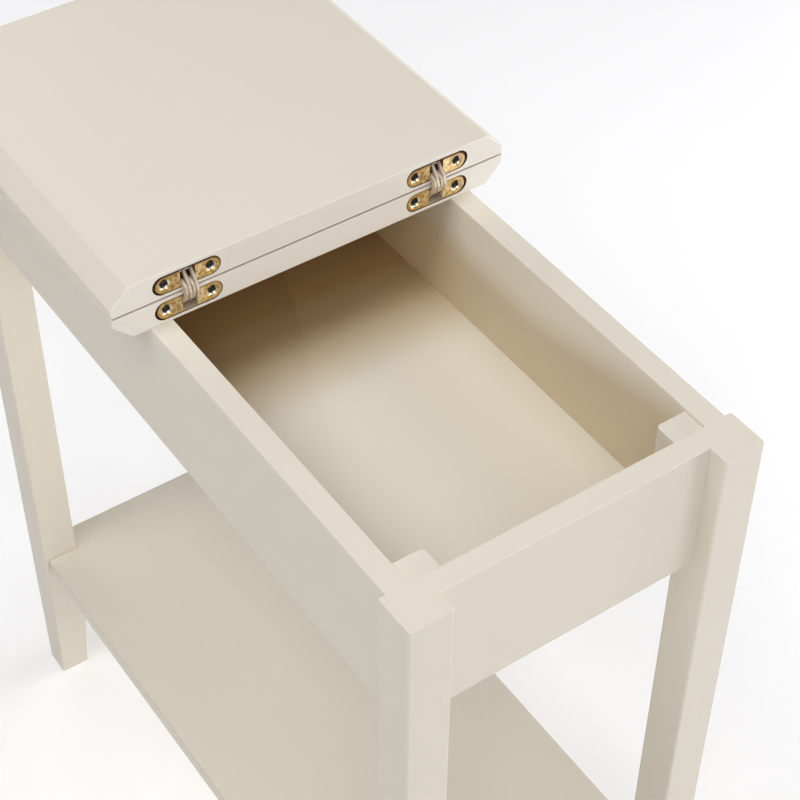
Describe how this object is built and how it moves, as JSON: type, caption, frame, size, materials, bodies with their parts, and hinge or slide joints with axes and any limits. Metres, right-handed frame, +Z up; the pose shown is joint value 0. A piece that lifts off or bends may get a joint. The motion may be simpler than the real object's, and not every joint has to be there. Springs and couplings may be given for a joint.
{
  "type": "flip top end table",
  "caption": "Narrow painted end table with a low shelf and a flip-over lid on concealed link hinges above a shallow storage compartment.",
  "frame": {"origin": "floor level, under the centre of the outer box with the lid folded back", "axes": "+Z up, X across the narrow width, the compartment's open part faces -Y, the fixed half of the top is towards +Y"},
  "size_m": [0.28, 0.563, 0.6298],
  "materials": {
    "painted_top": "satin cream paint over smooth board",
    "painted_frame": "satin cream paint, brushed along the grain",
    "floor_panel": "cream paint, slightly yellower",
    "dowel_wood": "bare beech",
    "hinge_brass": "satin brass plate",
    "steel": "zinc-plated steel"
  },
  "bodies": {
    "table": {"apron_dowels": "dowel_wood", "block_screws": "steel", "bracket_screws": "steel", "compartment_floor": "floor_panel", "corner_block_front_left": "painted_frame", "corner_block_front_right": "painted_frame", "corner_block_rear_left": "painted_frame", "corner_block_rear_right": "painted_frame", "fixed_leaf_screws": "hinge_brass", "fixed_top": "painted_top", "front_apron": "painted_frame", "hinge_leaf_fixed_left": "hinge_brass", "hinge_leaf_fixed_right": "hinge_brass", "leg_front_left": "painted_frame", "leg_front_right": "painted_frame", "leg_rear_left": "painted_frame", "leg_rear_right": "painted_frame", "pivot_pin_fixed_left": "steel", "pivot_pin_fixed_right": "steel", "rear_apron": "painted_frame", "shelf": "painted_frame", "shelf_dowels": "dowel_wood", "side_apron_left": "painted_frame", "side_apron_right": "painted_frame", "top_bracket_left_front": "steel", "top_bracket_left_rear": "steel", "top_bracket_right_front": "steel", "top_bracket_right_rear": "steel"},
    "lid": {"hinge_leaf_lid_left": "hinge_brass", "hinge_leaf_lid_right": "hinge_brass", "lid": "painted_top", "lid_leaf_screws": "hinge_brass", "pivot_pin_lid_left": "steel", "pivot_pin_lid_right": "steel"},
    "link_a_left": {"hinge_links_a_left": "steel", "link_pins_a_left": "steel"},
    "link_a_right": {"hinge_links_a_right": "steel", "link_pins_a_right": "steel"},
    "link_b_left": {"hinge_links_b_left": "steel", "link_pins_b_left": "steel"},
    "link_b_right": {"hinge_links_b_right": "steel", "link_pins_b_right": "steel"}
  },
  "joints": [
    {"name": "lid_fold", "type": "hinge", "parent": "table", "child": "lid", "pos_m": [0, -0.0103, 0.6109], "axis": [1, 0, 0], "range_deg": [0, 180]},
    {"name": "link_a_left_turn", "type": "hinge", "parent": "table", "child": "link_a_left", "pos_m": [-0.0885, -0.0078, 0.60545], "axis": [1, 0, 0], "range_deg": [0, 108.9]},
    {"name": "link_b_left_turn", "type": "hinge", "parent": "lid", "child": "link_b_left", "pos_m": [-0.0885, -0.0078, 0.61635], "axis": [1, 0, 0], "range_deg": [-108.9, 0]},
    {"name": "link_a_right_turn", "type": "hinge", "parent": "table", "child": "link_a_right", "pos_m": [0.0885, -0.0078, 0.60545], "axis": [1, 0, 0], "range_deg": [0, 108.9]},
    {"name": "link_b_right_turn", "type": "hinge", "parent": "lid", "child": "link_b_right", "pos_m": [0.0885, -0.0078, 0.61635], "axis": [1, 0, 0], "range_deg": [-108.9, 0]}
  ],
  "couplings": [
    {"joint": "link_a_left_turn", "follows": "lid_fold", "ratio": 0.605},
    {"joint": "link_b_left_turn", "follows": "lid_fold", "ratio": -0.605},
    {"joint": "link_a_right_turn", "follows": "lid_fold", "ratio": 0.605},
    {"joint": "link_b_right_turn", "follows": "lid_fold", "ratio": -0.605}
  ]
}
